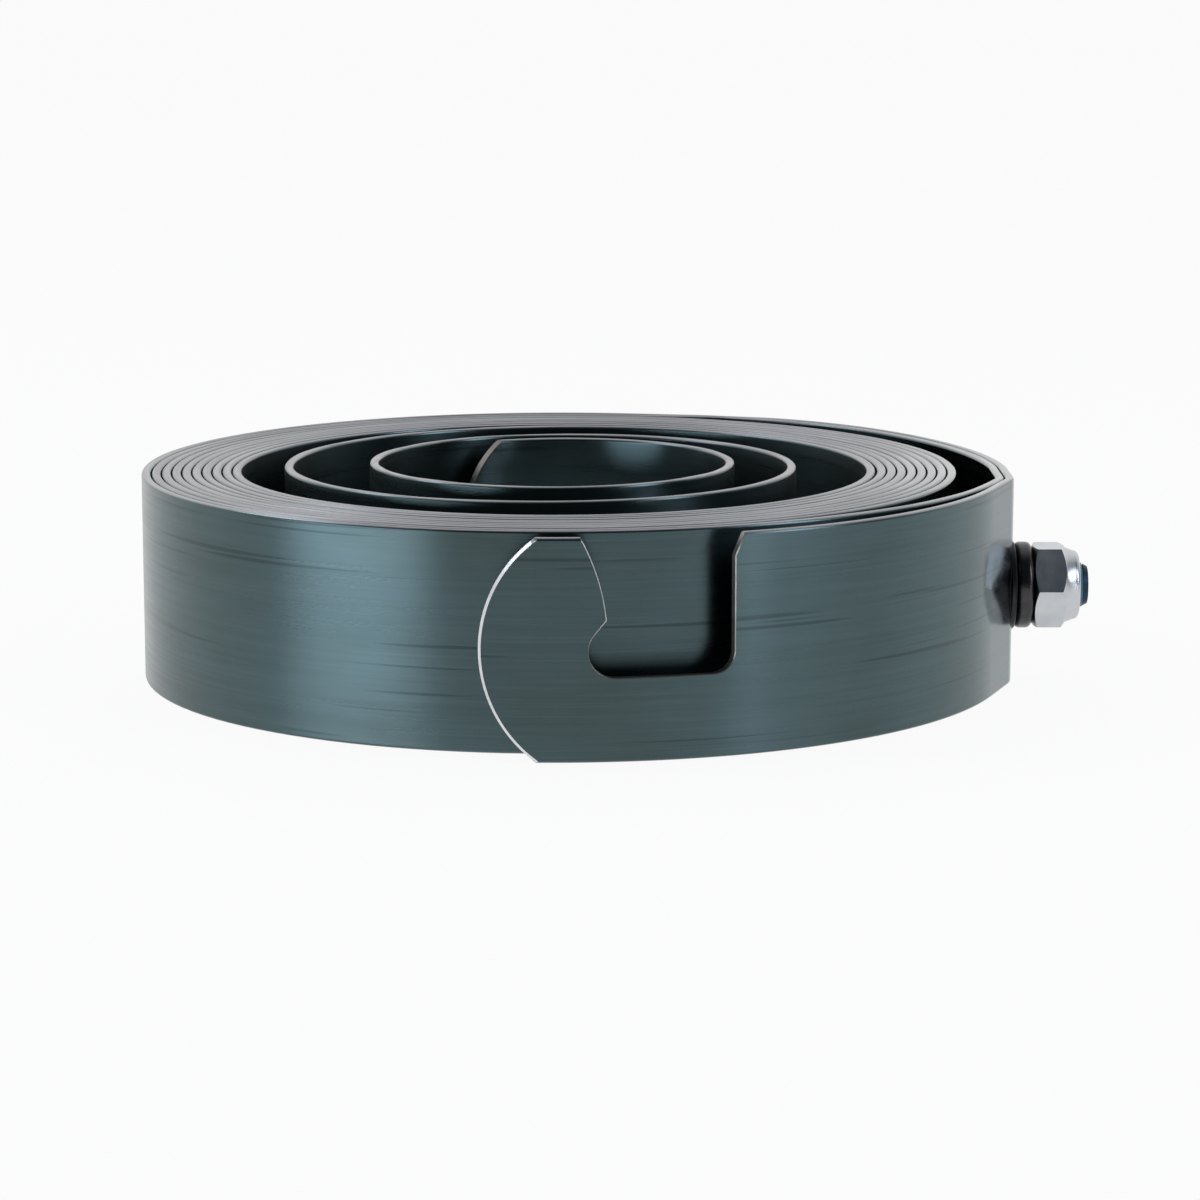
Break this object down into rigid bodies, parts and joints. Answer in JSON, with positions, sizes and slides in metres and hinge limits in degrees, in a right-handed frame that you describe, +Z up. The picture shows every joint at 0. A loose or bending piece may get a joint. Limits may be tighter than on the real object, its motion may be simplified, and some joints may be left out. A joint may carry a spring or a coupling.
{
  "type": "constant force spring",
  "caption": "Flat steel strip spring wound in a spiral on edge, with an open hook at its outer end and a clamp bolt with lock nut through its outer turns.",
  "frame": {"origin": "on the coil axis, in the plane that the strip's lower edge stands on", "axes": "+Z up along the coil axis, -Y towards the hook at the outer end, +X along the clamp bolt towards its nut"},
  "size_m": [0.1558, 0.1431, 0.034],
  "materials": {
    "blued_steel": "blued spring steel, glossy",
    "bolt_steel": "black oxide, satin",
    "flat_washer_steel": "black oxide, satin",
    "spring_washer_steel": "black oxide, satin",
    "zinc_plate": "bright zinc plate",
    "blue_nylon": "satin nylon"
  },
  "bodies": {
    "root": {"spring_strip": "blued_steel", "clamp_bolt": "bolt_steel", "flat_washer": "flat_washer_steel", "spring_washer": "spring_washer_steel", "lock_nut": "zinc_plate", "nut_insert": "blue_nylon"}
  },
  "joints": []
}
